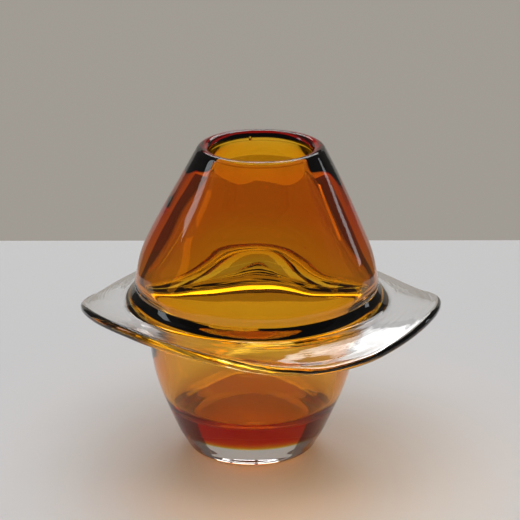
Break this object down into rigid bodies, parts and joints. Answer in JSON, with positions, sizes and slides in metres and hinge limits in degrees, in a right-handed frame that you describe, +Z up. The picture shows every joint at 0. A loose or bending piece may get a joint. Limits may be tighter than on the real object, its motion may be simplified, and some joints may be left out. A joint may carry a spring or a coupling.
{
  "type": "glass vase",
  "caption": "Thick-walled blown vase in amber glass with a domed top, a clear wavy ring around its waist and a clear foot.",
  "frame": {"origin": "centre of the ground-flat underside of the clear foot", "axes": "+Z up through the mouth, -Y towards the front of the reference view, +X to its right"},
  "size_m": [0.2169, 0.2168, 0.19],
  "materials": {
    "amber_glass": "fire-polished transparent amber",
    "clear_glass": "fire-polished clear crystal"
  },
  "bodies": {
    "root": {"clear_foot": "clear_glass", "amber_cup": "amber_glass", "clear_ring": "clear_glass", "amber_dome": "amber_glass"}
  },
  "joints": []
}
